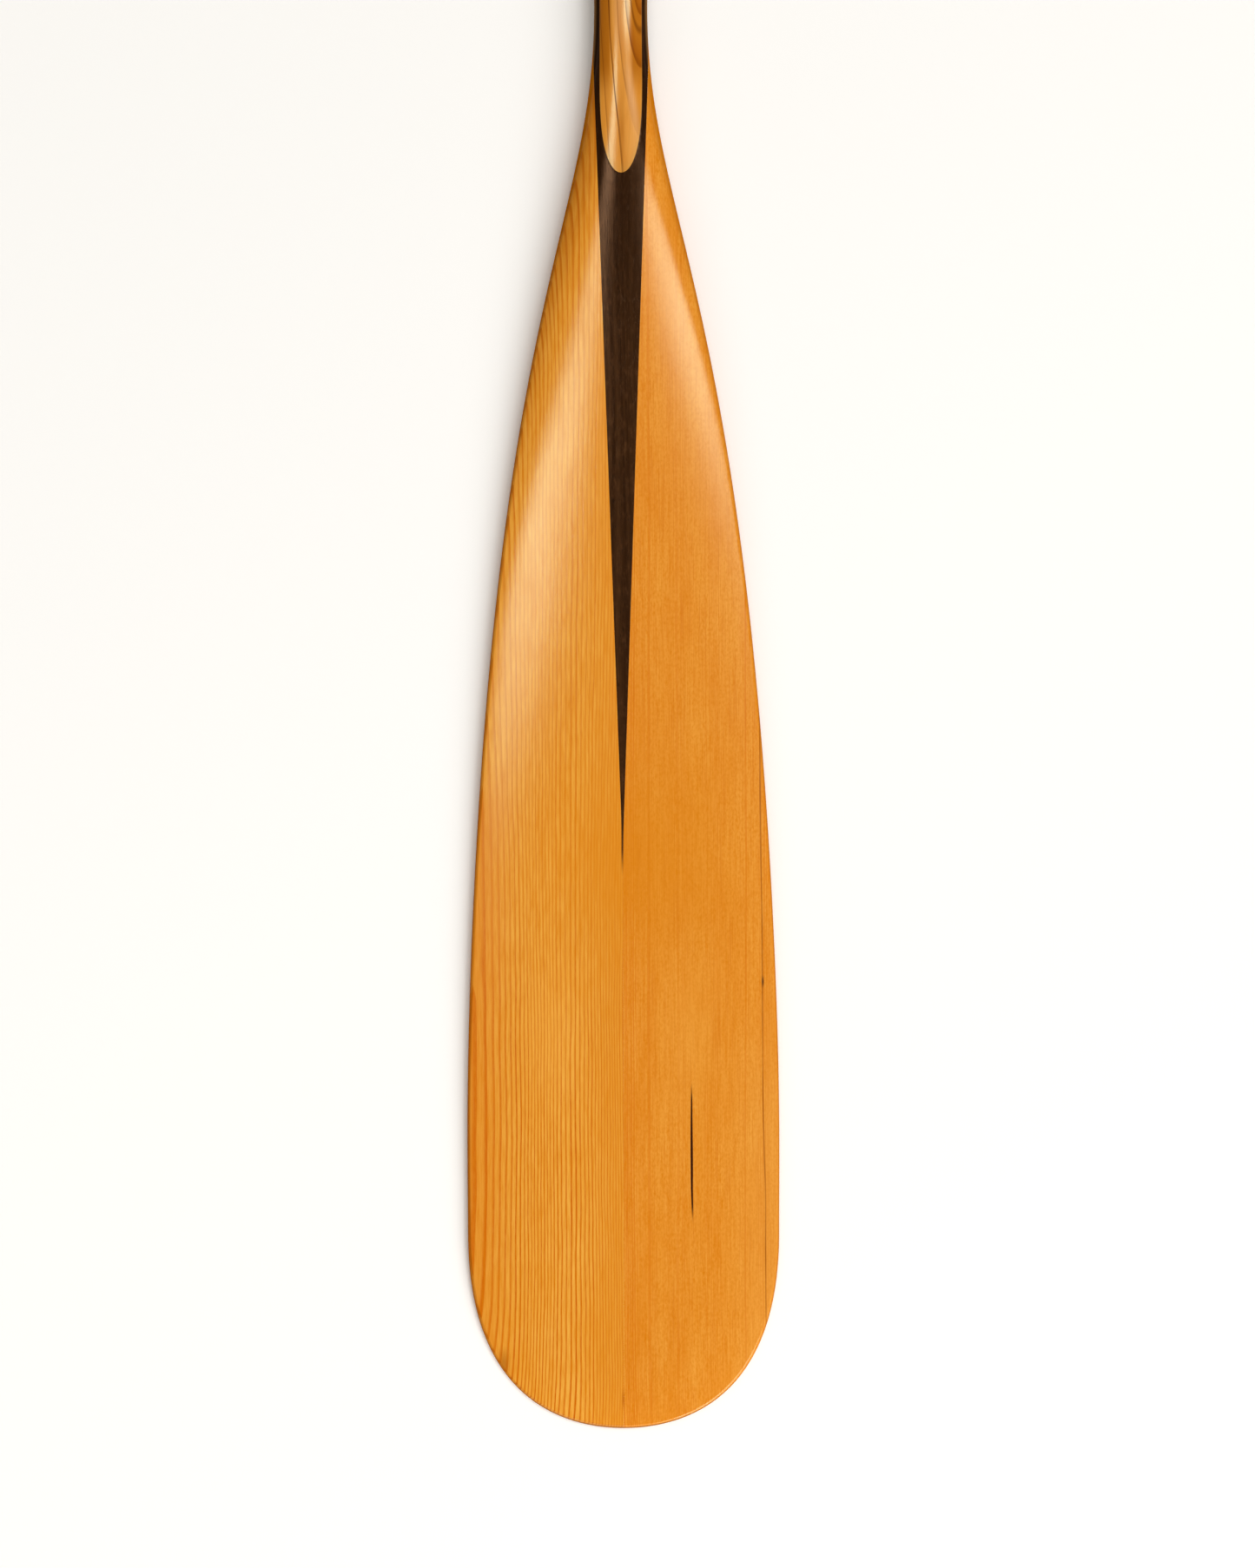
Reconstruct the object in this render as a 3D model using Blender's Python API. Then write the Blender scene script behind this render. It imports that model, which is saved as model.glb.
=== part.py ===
"""A laminated wooden canoe paddle: seven boards glued into one blank and carved to one form.

The paddle lies face up. Its long axis is Y, with the blade's tip at -Y and the grip at +Y, X runs across
the blade, and Z is up out of the front face. The floor is z = 0. Every length is in metres. Inside this
script y is measured from the blade's tip and z from the middle of the thickness: one empty carries both
offsets. Each board is drawn as it is sawn, and the carved form then cuts it to its finished surface, so
the tongue, the spear and the feathered ends of the blade boards fall out of the carving.
"""

from math import cos, pi, sin

import bmesh
import bpy
import numpy as np

# Overall sizes
OVERALL_LENGTH = 1.473
SHAFT_WIDTH = 0.0278
SHAFT_DEPTH = 0.0270

# Blade outline, from the tip
BLADE_WIDTH = 0.1624
WIDEST_AT = 0.102
FLANK_AT = 0.277
FLANK_NARROWING = 0.0067
FLANK_SLOPE = -0.0505
BLADE_LENGTH = 0.741

# Blade thickness
EDGE_THICKNESS = 0.0036
EDGE_ROUNDING = 0.0018
PANEL_THICKNESS = 0.0070
PANEL_END_AT = 0.280
CROWN_GROWTH = 0.170
FLAT_SHARE = 0.5

# Throat, where the blade grows into the shaft
TONGUE_BELOW_SHAFT = 0.0873
TONGUE_SLOPE = 0.0430
OVAL_GROWTH_BELOW_SHAFT = 0.173
OVAL_GROWTH_ABOVE_SHAFT = 0.022
OVAL_SQUARENESS = 2.4  # 2 is an ellipse, and more is squarer

# Grip, from its top
GRIP_LENGTH = 0.130
GRIP_WIDTH = 0.074
GRIP_WIDEST_BELOW_TOP = 0.034
GRIP_THICKNESS = 0.0270
GRIP_PALM_BELOW_TOP = 0.024
GRIP_NECK_THICKNESS = 0.0240
GRIP_NECK_BELOW_TOP = 0.062

# Boards, as they are glued
CORE_THICKNESS = 0.01905
SPEAR_SHOULDER_BELOW_SHAFT = 0.0295
SPEAR_LENGTH = 0.4125
PLANING_ALLOWANCE = 0.0004
SAWN_MARGIN = 0.006
GLUE_LINE = 0.0003

# How far each curve's handles reach, as shares of its run (of the half width, where one lies across)
TIP_HANDLES = (0.365, 0.87)
SIDE_HANDLES = (0.20, 0.54)
THROAT_HANDLES = (0.69, 0.23)
FLARE_HANDLES = (0.55, 0.33)
TOP_HANDLES = (0.55, 0.62)
RIDGE_HANDLES = (0.020, 0.260)
RISE_HANDLES = (0.420, 0.245)
EVEN_HANDLES = (1 / 3, 1 / 3)
FAN_SHARE = 0.68

# How finely the form is cut: stations along each stretch, and steps from the centre line to the edge
TIP_STATIONS = 20
SIDE_STATIONS = 8
THROAT_STATIONS = 58
OVAL_STATIONS = 3
FLARE_STATIONS = 20
TOP_STATIONS = 14
PANEL_STEPS = 7
ROUNDING_STEPS = 3
SPINE_SAMPLES = 200
CRISP_ANGLE = pi / 6

# Places that follow from the sizes above
TONGUE_AT = BLADE_LENGTH - TONGUE_BELOW_SHAFT
SHOULDER_AT = BLADE_LENGTH - SPEAR_SHOULDER_BELOW_SHAFT
SPEAR_POINT_AT = SHOULDER_AT - SPEAR_LENGTH
OVAL_STARTS_AT = BLADE_LENGTH - OVAL_GROWTH_BELOW_SHAFT
OVAL_ENDS_AT = BLADE_LENGTH + OVAL_GROWTH_ABOVE_SHAFT
CROWN_AT = PANEL_END_AT + CROWN_GROWTH
GRIP_AT = OVERALL_LENGTH - GRIP_LENGTH
GRIP_WIDEST_AT = OVERALL_LENGTH - GRIP_WIDEST_BELOW_TOP
NECK_AT = OVERALL_LENGTH - GRIP_NECK_BELOW_TOP
PALM_AT = OVERALL_LENGTH - GRIP_PALM_BELOW_TOP
CORE_HALF_WIDTH = SHAFT_WIDTH / 2 + PLANING_ALLOWANCE
FACE_BOARD_Z = CORE_THICKNESS / 2 + GLUE_LINE


def bezier(start, lead, trail, end, count):
    """count + 1 points of the cubic curve that leaves start towards lead and reaches end from trail."""
    t = np.linspace(0, 1, count + 1)[:, None]
    start, lead, trail, end = (np.array(p, float) for p in (start, lead, trail, end))
    return (1 - t) ** 3 * start + 3 * (1 - t) ** 2 * t * lead + 3 * (1 - t) * t**2 * trail + t**3 * end


def flow(start, end, count, handles=EVEN_HANDLES, slopes=(0, 0)):
    """A curve between two (value, y) places, which leaves and arrives at the slopes, in value per y."""
    run = end[1] - start[1]
    lead = (start[0] + slopes[0] * handles[0] * run, start[1] + handles[0] * run)
    trail = (end[0] - slopes[1] * handles[1] * run, end[1] - handles[1] * run)
    return bezier(start, lead, trail, end, count)


def ease(low, high, value):
    """0 below low, 1 above high, and a smooth rise between."""
    t = np.clip((value - low) / (high - low), 0, 1)
    return t * t * (3 - 2 * t)


def tip_curve(half_width, depth, handles, count):
    """A round end, as (half width, distance from the end) points from the centre line to its widest."""
    lead = (handles[0] * half_width, 0)
    trail = (half_width, (1 - handles[1]) * depth)
    return bezier((0, 0), lead, trail, (half_width, depth), count)


def outline_stretches():
    """The right-hand half outline as (half width, y) points: tip, sides, throat, shaft, grip flare, top."""
    blade = (BLADE_WIDTH / 2, WIDEST_AT)
    flank = ((BLADE_WIDTH - FLANK_NARROWING) / 2, FLANK_AT)
    shaft = (SHAFT_WIDTH / 2, BLADE_LENGTH)
    full_oval = (SHAFT_WIDTH / 2, OVAL_ENDS_AT)
    grip_start = (SHAFT_WIDTH / 2, GRIP_AT)
    grip = (GRIP_WIDTH / 2, GRIP_WIDEST_AT)
    tip = tip_curve(*blade, TIP_HANDLES, TIP_STATIONS)
    side = flow(blade, flank, SIDE_STATIONS, SIDE_HANDLES, (0, FLANK_SLOPE))
    throat = flow(flank, shaft, THROAT_STATIONS, THROAT_HANDLES, (FLANK_SLOPE, 0))
    oval = flow(shaft, full_oval, OVAL_STATIONS)
    stick = flow(full_oval, grip_start, 1)
    flare = flow(grip_start, grip, FLARE_STATIONS, FLARE_HANDLES)
    top = tip_curve(GRIP_WIDTH / 2, GRIP_WIDEST_BELOW_TOP, TOP_HANDLES, TOP_STATIONS)[::-1]
    top = np.column_stack([top[:, 0], OVERALL_LENGTH - top[:, 1]])
    return tip, side, throat, oval, stick, flare, top


def outline_and_feet():
    """Outline points from tip to top, and for each the y on the centre line that its line runs out from.

    Along the paddle each line lies square to it. At the round ends the lines fan out from a short
    stretch of the centre line instead, so that the surface closes neatly round the end."""
    stretches = outline_stretches()
    top_foot = OVERALL_LENGTH - FAN_SHARE * GRIP_WIDEST_BELOW_TOP
    feet = [np.linspace(FAN_SHARE * WIDEST_AT, WIDEST_AT, TIP_STATIONS + 1)]
    feet += [points[1:, 1] for points in stretches[1:-1]]
    feet.append(np.linspace(GRIP_WIDEST_AT, top_foot, TOP_STATIONS + 1)[1:])
    outline = np.vstack([stretches[0]] + [points[1:] for points in stretches[1:]])
    return outline, np.concatenate(feet)


def spine_curve():
    """Half the thickness on the centre line, as (half thickness, y) points from the tip to the top."""
    tip = (PANEL_THICKNESS / 2, 0)
    panel = (PANEL_THICKNESS / 2, PANEL_END_AT)
    tongue = (CORE_THICKNESS / 2, TONGUE_AT)
    shaft = (SHAFT_DEPTH / 2, BLADE_LENGTH)
    grip_start = (SHAFT_DEPTH / 2, GRIP_AT)
    neck = (GRIP_NECK_THICKNESS / 2, NECK_AT)
    palm = (GRIP_THICKNESS / 2, PALM_AT)
    top = (GRIP_THICKNESS / 2, OVERALL_LENGTH)
    ridge = flow(panel, tongue, SPINE_SAMPLES, RIDGE_HANDLES, (0, TONGUE_SLOPE))
    rise = flow(tongue, shaft, SPINE_SAMPLES, RISE_HANDLES, (TONGUE_SLOPE, 0))
    fall = flow(grip_start, neck, SPINE_SAMPLES)
    swell = flow(neck, palm, SPINE_SAMPLES)
    return np.vstack([tip, ridge, rise, fall, swell, top])


def surface_height(share, reach, y, spine):
    """Half the thickness at a share of the way from the centre line to the edge, reach away from it.

    The blade's section is a lens with a flat middle, which narrows away towards the throat, and a
    rounded edge. It eases into the shaft's oval through the throat."""
    middle = np.interp(y, spine[:, 1], spine[:, 0])
    edge = EDGE_THICKNESS / 2
    flat = FLAT_SHARE * (1 - ease(PANEL_END_AT, CROWN_AT, y))
    fall = np.clip((share - flat) / (1 - flat), 0, 1)
    lens = np.sqrt(edge**2 + (middle**2 - edge**2) * (1 - fall**2))
    inset = np.clip((1 - share) * reach / EDGE_ROUNDING, 0, 1)
    blade = lens * np.sqrt(1 - (1 - inset) ** 2)
    oval = middle * (1 - share**OVAL_SQUARENESS) ** (1 / OVAL_SQUARENESS)
    growth = ease(OVAL_STARTS_AT, OVAL_ENDS_AT, y)
    return (1 - growth) * blade + growth * oval


def line_shares(reach, y):
    """Where the points lie along one line from the centre to the edge, closer together round the edge."""
    rounding = EDGE_ROUNDING / reach
    panel = [(1 - rounding) * n / PANEL_STEPS for n in range(PANEL_STEPS)]
    steps = [pi / 2 * (1 - n / ROUNDING_STEPS) for n in range(ROUNDING_STEPS + 1)]
    blade = np.array(panel + [1 - rounding * (1 - cos(step)) for step in steps])
    count = PANEL_STEPS + ROUNDING_STEPS
    oval = np.array([sin(pi / 2 * n / count) for n in range(count + 1)])
    growth = ease(OVAL_STARTS_AT, OVAL_ENDS_AT, y)
    return (1 - growth) * blade + growth * oval


def form_corners():
    """points[station][step] is (x, y, z) on the front right quarter of the carved form."""
    outline, feet = outline_and_feet()
    spine = spine_curve()
    points = []
    for (half_width, y), foot in zip(outline, feet):
        reach = float(np.hypot(half_width, y - foot))
        shares = line_shares(reach, y)
        ys = foot + shares * (y - foot)
        heights = surface_height(shares, reach, ys, spine)
        points.append(np.column_stack([shares * half_width, ys, heights]))
    return points


def carved_form(parent):
    """The whole finished shape as one closed cutter, from which every board takes its surface."""
    quarter = form_corners()
    last = len(quarter) - 1
    rim = PANEL_STEPS + ROUNDING_STEPS
    mesh = bmesh.new()
    made = {}

    def corner(station, step, side, face):
        """One vertex. Both sides share the centre line and the ends, and both faces share the rim."""
        side = 0 if step == 0 or station in (0, last) else side
        face = 0 if step == rim else face
        key = (station, step, side, face)
        if key not in made:
            x, y, z = quarter[station][step]
            made[key] = mesh.verts.new((side * x, y, face * z))
        return made[key]

    for side in (1, -1):
        for face in (1, -1):
            for station in range(last):
                for step in range(rim):
                    mesh.faces.new((
                        corner(station, step, side, face),
                        corner(station, step + 1, side, face),
                        corner(station + 1, step + 1, side, face),
                        corner(station + 1, step, side, face),
                    ))
    bmesh.ops.recalc_face_normals(mesh, faces=mesh.faces)
    form = new_object("carved_form", mesh, parent)
    form.data.shade_smooth()
    form.hide_render = True
    form.display_type = "WIRE"
    return form


def new_object(name, mesh, parent, location=(0, 0, 0)):
    """An object from a bmesh, placed under its parent."""
    data = bpy.data.meshes.new(name)
    mesh.to_mesh(data)
    mesh.free()
    obj = bpy.data.objects.new(name, data)
    bpy.context.scene.collection.objects.link(obj)
    obj.parent = parent
    obj.location = location
    return obj


def board(name, plan, depth, material, form, location=(0, 0, 0)):
    """A sawn board: its plan, as (x, y) corners, with depth from its underside up, cut to the form.

    Its sawn faces stay flat-shaded, and what the form cuts is shaded smooth."""
    mesh = bmesh.new()
    face = mesh.faces.new([mesh.verts.new((x, y, 0)) for x, y in plan])
    pushed = bmesh.ops.extrude_face_region(mesh, geom=[face])["geom"]
    corners = [v for v in pushed if isinstance(v, bmesh.types.BMVert)]
    bmesh.ops.translate(mesh, verts=corners, vec=(0, 0, depth))
    bmesh.ops.recalc_face_normals(mesh, faces=mesh.faces)
    obj = new_object(name, mesh, form.parent, location)
    obj.data.shade_flat()
    obj.data.materials.append(material)
    carve = obj.modifiers.new("carve", "BOOLEAN")
    carve.operation = "INTERSECT"
    carve.object = form
    crisp = obj.modifiers.new("crisp_glue_edges", "NODES")
    crisp.node_group = bpy.data.node_groups["crisp_edges"]


def crisp_edges_group():
    """Marks each edge sharper than CRISP_ANGLE, so that a carved face shades smoothly up to its glue line."""
    group = bpy.data.node_groups.new("crisp_edges", "GeometryNodeTree")
    group.interface.new_socket("Geometry", in_out="INPUT", socket_type="NodeSocketGeometry")
    group.interface.new_socket("Geometry", in_out="OUTPUT", socket_type="NodeSocketGeometry")
    entry = group.nodes.new("NodeGroupInput")
    leave = group.nodes.new("NodeGroupOutput")
    edge = group.nodes.new("GeometryNodeInputMeshEdgeAngle")
    sharper = group.nodes.new("FunctionNodeCompare")
    sharper.operation = "GREATER_THAN"
    sharper.inputs["B"].default_value = CRISP_ANGLE
    mark = group.nodes.new("GeometryNodeSetShadeSmooth")
    mark.domain = "EDGE"
    mark.inputs["Shade Smooth"].default_value = False
    group.links.new(entry.outputs[0], mark.inputs["Geometry"])
    group.links.new(edge.outputs["Unsigned Angle"], sharper.inputs["A"])
    group.links.new(sharper.outputs["Result"], mark.inputs["Selection"])
    group.links.new(mark.outputs["Geometry"], leave.inputs[0])


def core_board(form, wood):
    """The shaft's dark middle board, sawn to a long spear where it runs down between the blade boards."""
    top = OVERALL_LENGTH + SAWN_MARGIN
    plan = [
        (0, SPEAR_POINT_AT),
        (CORE_HALF_WIDTH, SHOULDER_AT),
        (CORE_HALF_WIDTH, top),
        (-CORE_HALF_WIDTH, top),
        (-CORE_HALF_WIDTH, SHOULDER_AT),
    ]
    board("shaft_core", plan, CORE_THICKNESS, wood, form, (0, 0, -CORE_THICKNESS / 2))


def face_boards(form, wood):
    """The light boards on the front and back of the core. Each runs out in a rounded tongue."""
    depth = SHAFT_DEPTH / 2 + SAWN_MARGIN - FACE_BOARD_Z
    low = TONGUE_AT - SAWN_MARGIN
    top = OVERALL_LENGTH + SAWN_MARGIN
    half = CORE_HALF_WIDTH
    plan = [(-half, low), (half, low), (half, top), (-half, top)]
    board("shaft_face_front", plan, depth, wood, form, (0, 0, FACE_BOARD_Z))
    board("shaft_face_back", plan, depth, wood, form, (0, 0, -FACE_BOARD_Z - depth))


def blade_boards(form, wood):
    """The two broad boards of the blade. They meet below the spear's point and fit its slanted sides."""
    half_glue = GLUE_LINE / 2
    knee = SPEAR_POINT_AT - half_glue * SPEAR_LENGTH / CORE_HALF_WIDTH
    inner = CORE_HALF_WIDTH + GLUE_LINE
    outer = BLADE_WIDTH / 2 + SAWN_MARGIN
    low = -SAWN_MARGIN
    top = OVAL_ENDS_AT
    for side, name in ((-1, "left"), (1, "right")):
        plan = [
            (side * half_glue, low),
            (side * outer, low),
            (side * outer, top),
            (side * inner, top),
            (side * inner, SHOULDER_AT),
            (side * half_glue, knee),
        ]
        place = (0, 0, -CORE_THICKNESS / 2)
        board(f"blade_board_{name}", plan, CORE_THICKNESS, wood, form, place)


def grip_cheeks(form, wood):
    """The blocks on both sides of the shaft that give the grip its width."""
    depth = SHAFT_DEPTH + 2 * SAWN_MARGIN
    inner = CORE_HALF_WIDTH + GLUE_LINE
    outer = GRIP_WIDTH / 2 + SAWN_MARGIN
    top = OVERALL_LENGTH + SAWN_MARGIN
    for side, name in ((-1, "left"), (1, "right")):
        plan = [(side * inner, GRIP_AT), (side * outer, GRIP_AT), (side * outer, top), (side * inner, top)]
        board(f"grip_cheek_{name}", plan, depth, wood, form, (0, 0, -depth / 2))


def wood_material(name, color, roughness):
    """An oiled wood. color is linear red, green and blue."""
    material = bpy.data.materials.new(name)
    material.use_nodes = True
    shader = material.node_tree.nodes["Principled BSDF"]
    shader.inputs["Base Color"].default_value = (*color, 1)
    shader.inputs["Roughness"].default_value = roughness
    shader.inputs["Metallic"].default_value = 0
    return material


def clear_scene():
    for obj in list(bpy.data.objects):
        bpy.data.objects.remove(obj, do_unlink=True)


def main():
    clear_scene()
    axis = bpy.data.objects.new("paddle_axis", None)
    bpy.context.scene.collection.objects.link(axis)
    axis.location = (0, -OVERALL_LENGTH / 2, SHAFT_DEPTH / 2)
    crisp_edges_group()
    form = carved_form(axis)
    walnut = wood_material("walnut", (0.065, 0.024, 0.009), 0.42)
    cedar = wood_material("cedar", (0.76, 0.30, 0.045), 0.38)
    cherry = wood_material("cherry", (0.64, 0.28, 0.070), 0.34)
    core_board(form, walnut)
    face_boards(form, cherry)
    blade_boards(form, cedar)
    grip_cheeks(form, cherry)


main()
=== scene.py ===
"""The looks of a laminated wooden canoe paddle: its finely carved boards, their wood, and a plain studio.

The paddle lies face up in the row frame: its long axis is Y with the blade's tip at -Y, X runs across
the blade, and Z is up. Lengths are in metres, and in millimetres inside the woods. A place along the
paddle is its distance from the blade's tip, and a height in a board is from the middle of the thickness.
"""

from math import atan, cos, pi, radians, sin, tan

import bmesh
import bpy
import numpy as np
from mathutils import Matrix, Vector


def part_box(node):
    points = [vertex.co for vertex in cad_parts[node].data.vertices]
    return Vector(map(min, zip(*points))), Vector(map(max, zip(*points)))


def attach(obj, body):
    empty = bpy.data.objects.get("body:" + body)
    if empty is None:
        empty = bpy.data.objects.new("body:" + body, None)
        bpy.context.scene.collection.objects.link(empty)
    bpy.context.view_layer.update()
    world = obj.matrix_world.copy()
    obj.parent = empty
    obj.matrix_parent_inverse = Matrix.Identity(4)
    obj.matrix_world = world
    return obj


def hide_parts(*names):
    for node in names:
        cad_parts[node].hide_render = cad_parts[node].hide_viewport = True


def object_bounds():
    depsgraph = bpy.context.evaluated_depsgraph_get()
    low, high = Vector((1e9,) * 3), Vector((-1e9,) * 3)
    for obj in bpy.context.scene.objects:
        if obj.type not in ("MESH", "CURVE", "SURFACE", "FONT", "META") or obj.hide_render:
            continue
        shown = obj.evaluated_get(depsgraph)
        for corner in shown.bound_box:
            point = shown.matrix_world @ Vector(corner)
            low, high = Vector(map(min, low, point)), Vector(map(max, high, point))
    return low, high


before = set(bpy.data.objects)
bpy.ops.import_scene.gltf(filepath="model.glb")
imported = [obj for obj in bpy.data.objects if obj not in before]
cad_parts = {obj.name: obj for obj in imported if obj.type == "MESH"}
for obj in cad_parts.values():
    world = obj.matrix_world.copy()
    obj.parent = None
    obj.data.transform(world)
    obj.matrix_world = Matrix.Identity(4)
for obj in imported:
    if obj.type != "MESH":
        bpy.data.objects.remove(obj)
cad_low, cad_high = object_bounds()
core_low, core_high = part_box("shaft_core")

# Sizes that the frame gives
TIP_Y = cad_low.y
OVERALL_LENGTH = cad_high.y - cad_low.y
SHAFT_DEPTH = cad_high.z - cad_low.z
MIDDLE_Z = (cad_low.z + cad_high.z) / 2
CORE_THICKNESS = core_high.z - core_low.z
SPEAR_POINT_AT = core_low.y - cad_low.y
GRIP_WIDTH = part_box("grip_cheek_right")[1].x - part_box("grip_cheek_left")[0].x

# Outline
SHAFT_WIDTH = 0.0278
BLADE_WIDTH = 0.1624
WIDEST_AT = 0.102
FLANK_AT = 0.277
FLANK_NARROWING = 0.0067
FLANK_SLOPE = -0.0505
BLADE_LENGTH = 0.741
GRIP_LENGTH = 0.130
GRIP_WIDEST_BELOW_TOP = 0.034

# Thickness
EDGE_THICKNESS = 0.0036
EDGE_ROUNDING = 0.0018
PANEL_THICKNESS = 0.0070
PANEL_END_AT = 0.280
CROWN_GROWTH = 0.170
FLAT_SHARE = 0.5
TONGUE_BELOW_SHAFT = 0.0873
TONGUE_SLOPE = 0.0430
OVAL_GROWTH_BELOW_SHAFT = 0.173
OVAL_GROWTH_ABOVE_SHAFT = 0.022
OVAL_SQUARENESS = 2.4  # 2 is an ellipse, and more is squarer
GRIP_THICKNESS = 0.0270
GRIP_PALM_BELOW_TOP = 0.024
GRIP_NECK_THICKNESS = 0.0240
GRIP_NECK_BELOW_TOP = 0.062

# Boards
SPEAR_SHOULDER_BELOW_SHAFT = 0.0295
PLANING_ALLOWANCE = 0.0004
SAWN_MARGIN = 0.006
GLUE_LINE = 0.00002

# How far each curve's handles reach, as shares of its run (of the half width, where one lies across)
TIP_HANDLES = (0.365, 0.87)
SIDE_HANDLES = (0.20, 0.54)
THROAT_HANDLES = (0.69, 0.23)
FLARE_HANDLES = (0.55, 0.33)
TOP_HANDLES = (0.55, 0.62)
RIDGE_HANDLES = (0.020, 0.260)
RISE_HANDLES = (0.420, 0.245)
EVEN_HANDLES = (1 / 3, 1 / 3)
FAN_SHARE = 0.68

# How finely the form is cut
TIP_STATIONS = 72
SIDE_STATIONS = 40
THROAT_STATIONS = 220
OVAL_STATIONS = 12
STICK_STATIONS = 60
FLARE_STATIONS = 64
TOP_STATIONS = 48
PANEL_STEPS = 26
ROUNDING_STEPS = 8
SPINE_SAMPLES = 600
CRISP_ANGLE = radians(30)

# Places that follow from the sizes above
TONGUE_AT = BLADE_LENGTH - TONGUE_BELOW_SHAFT
SHOULDER_AT = BLADE_LENGTH - SPEAR_SHOULDER_BELOW_SHAFT
OVAL_STARTS_AT = BLADE_LENGTH - OVAL_GROWTH_BELOW_SHAFT
OVAL_ENDS_AT = BLADE_LENGTH + OVAL_GROWTH_ABOVE_SHAFT
CROWN_AT = PANEL_END_AT + CROWN_GROWTH
GRIP_AT = OVERALL_LENGTH - GRIP_LENGTH
GRIP_WIDEST_AT = OVERALL_LENGTH - GRIP_WIDEST_BELOW_TOP
NECK_AT = OVERALL_LENGTH - GRIP_NECK_BELOW_TOP
PALM_AT = OVERALL_LENGTH - GRIP_PALM_BELOW_TOP
CORE_HALF_WIDTH = SHAFT_WIDTH / 2 + PLANING_ALLOWANCE
FACE_BOARD_Z = CORE_THICKNESS / 2 + GLUE_LINE

# The photograph: what its frame covers at the paddle's middle height, and how it was taken
PHOTO_HEIGHT = 0.8186
PHOTO_CENTRE_AT = 0.3362
PHOTO_CENTRE_X = 0.0026
PHOTO_ROLL = radians(-0.136)
CAMERA_HEIGHT = 2.4
SENSOR = 36


# The carved form

def bezier(start, lead, trail, end, count):
    """count + 1 points of the cubic curve that leaves start towards lead and reaches end from trail."""
    t = np.linspace(0, 1, count + 1)[:, None]
    start, lead, trail, end = (np.array(p, float) for p in (start, lead, trail, end))
    return (1 - t) ** 3 * start + 3 * (1 - t) ** 2 * t * lead + 3 * (1 - t) * t**2 * trail + t**3 * end


def flow(start, end, count, handles=EVEN_HANDLES, slopes=(0, 0)):
    """A curve between two (value, y) places, which leaves and arrives at the slopes, in value per y."""
    run = end[1] - start[1]
    lead = (start[0] + slopes[0] * handles[0] * run, start[1] + handles[0] * run)
    trail = (end[0] - slopes[1] * handles[1] * run, end[1] - handles[1] * run)
    return bezier(start, lead, trail, end, count)


def ease(low, high, value):
    """0 below low, 1 above high, and a smooth rise between."""
    t = np.clip((value - low) / (high - low), 0, 1)
    return t * t * (3 - 2 * t)


def tip_curve(half_width, depth, handles, count):
    """A round end, as (half width, distance from the end) points from the centre line to its widest."""
    lead = (handles[0] * half_width, 0)
    trail = (half_width, (1 - handles[1]) * depth)
    return bezier((0, 0), lead, trail, (half_width, depth), count)


def outline_stretches():
    """The right-hand half outline as (half width, y) points: tip, sides, throat, shaft, grip flare, top."""
    blade = (BLADE_WIDTH / 2, WIDEST_AT)
    flank = ((BLADE_WIDTH - FLANK_NARROWING) / 2, FLANK_AT)
    shaft = (SHAFT_WIDTH / 2, BLADE_LENGTH)
    full_oval = (SHAFT_WIDTH / 2, OVAL_ENDS_AT)
    grip_start = (SHAFT_WIDTH / 2, GRIP_AT)
    grip = (GRIP_WIDTH / 2, GRIP_WIDEST_AT)
    tip = tip_curve(*blade, TIP_HANDLES, TIP_STATIONS)
    side = flow(blade, flank, SIDE_STATIONS, SIDE_HANDLES, (0, FLANK_SLOPE))
    throat = flow(flank, shaft, THROAT_STATIONS, THROAT_HANDLES, (FLANK_SLOPE, 0))
    oval = flow(shaft, full_oval, OVAL_STATIONS)
    stick = flow(full_oval, grip_start, STICK_STATIONS)
    flare = flow(grip_start, grip, FLARE_STATIONS, FLARE_HANDLES)
    top = tip_curve(GRIP_WIDTH / 2, GRIP_WIDEST_BELOW_TOP, TOP_HANDLES, TOP_STATIONS)[::-1]
    top = np.column_stack([top[:, 0], OVERALL_LENGTH - top[:, 1]])
    return tip, side, throat, oval, stick, flare, top


def outline_and_feet():
    """Outline points from tip to top, and for each the y on the centre line that its line runs out from.

    Along the paddle each line lies square to it. At the round ends the lines fan out."""
    stretches = outline_stretches()
    top_foot = OVERALL_LENGTH - FAN_SHARE * GRIP_WIDEST_BELOW_TOP
    feet = [np.linspace(FAN_SHARE * WIDEST_AT, WIDEST_AT, TIP_STATIONS + 1)]
    feet += [points[1:, 1] for points in stretches[1:-1]]
    feet.append(np.linspace(GRIP_WIDEST_AT, top_foot, TOP_STATIONS + 1)[1:])
    outline = np.vstack([stretches[0]] + [points[1:] for points in stretches[1:]])
    return outline, np.concatenate(feet)


def spine_curve():
    """Half the thickness on the centre line, as (half thickness, y) points from the tip to the top."""
    tip = (PANEL_THICKNESS / 2, 0)
    panel = (PANEL_THICKNESS / 2, PANEL_END_AT)
    tongue = (CORE_THICKNESS / 2, TONGUE_AT)
    shaft = (SHAFT_DEPTH / 2, BLADE_LENGTH)
    grip_start = (SHAFT_DEPTH / 2, GRIP_AT)
    neck = (GRIP_NECK_THICKNESS / 2, NECK_AT)
    palm = (GRIP_THICKNESS / 2, PALM_AT)
    top = (GRIP_THICKNESS / 2, OVERALL_LENGTH)
    ridge = flow(panel, tongue, SPINE_SAMPLES, RIDGE_HANDLES, (0, TONGUE_SLOPE))
    rise = flow(tongue, shaft, SPINE_SAMPLES, RISE_HANDLES, (TONGUE_SLOPE, 0))
    fall = flow(grip_start, neck, SPINE_SAMPLES)
    swell = flow(neck, palm, SPINE_SAMPLES)
    return np.vstack([tip, ridge, rise, fall, swell, top])


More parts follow.
